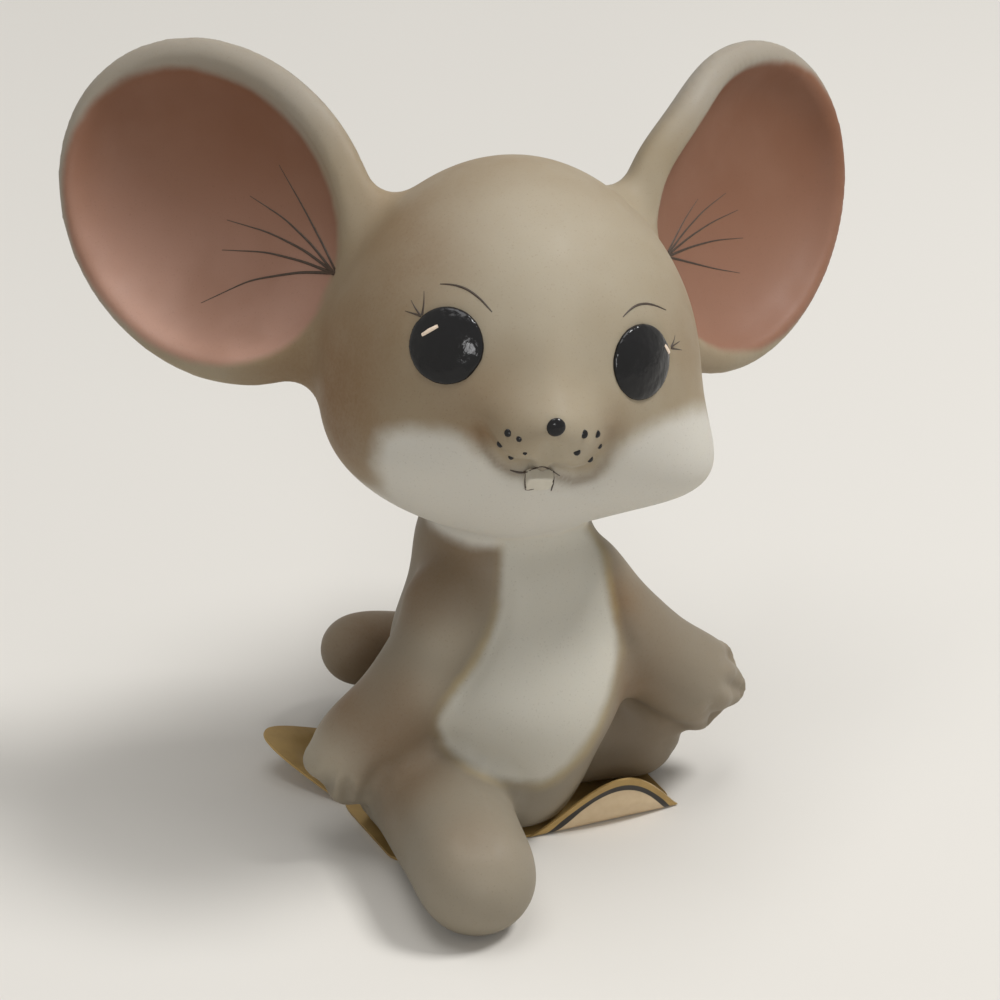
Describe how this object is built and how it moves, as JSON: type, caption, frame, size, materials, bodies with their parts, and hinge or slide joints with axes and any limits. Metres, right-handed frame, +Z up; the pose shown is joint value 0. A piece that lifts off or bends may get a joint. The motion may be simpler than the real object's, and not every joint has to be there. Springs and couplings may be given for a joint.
{
  "type": "mouse figurine",
  "caption": "Seated big-eared mouse figurine of matt white bisque with sprayed brown colour, glossy enamel eyes and a foil label under its base.",
  "frame": {"origin": "on the floor under the torso, on the underside of the label", "axes": "+Z up, the mouse faces -Y and its left side is +X"},
  "size_m": [0.0768, 0.0556, 0.0726],
  "materials": {
    "bisque": "matt",
    "enamel": "gloss",
    "tooth": "matt",
    "foil_label": "gold foil"
  },
  "bodies": {
    "root": {"torso": "bisque", "head": "bisque", "right_ear": "bisque", "left_ear": "bisque", "right_arm": "bisque", "left_arm": "bisque", "right_leg": "bisque", "left_leg": "bisque", "tail": "bisque", "right_eye": "enamel", "left_eye": "enamel", "nose": "enamel", "whisker_dots": "enamel", "front_teeth": "tooth", "base_label": "foil_label"}
  },
  "joints": []
}
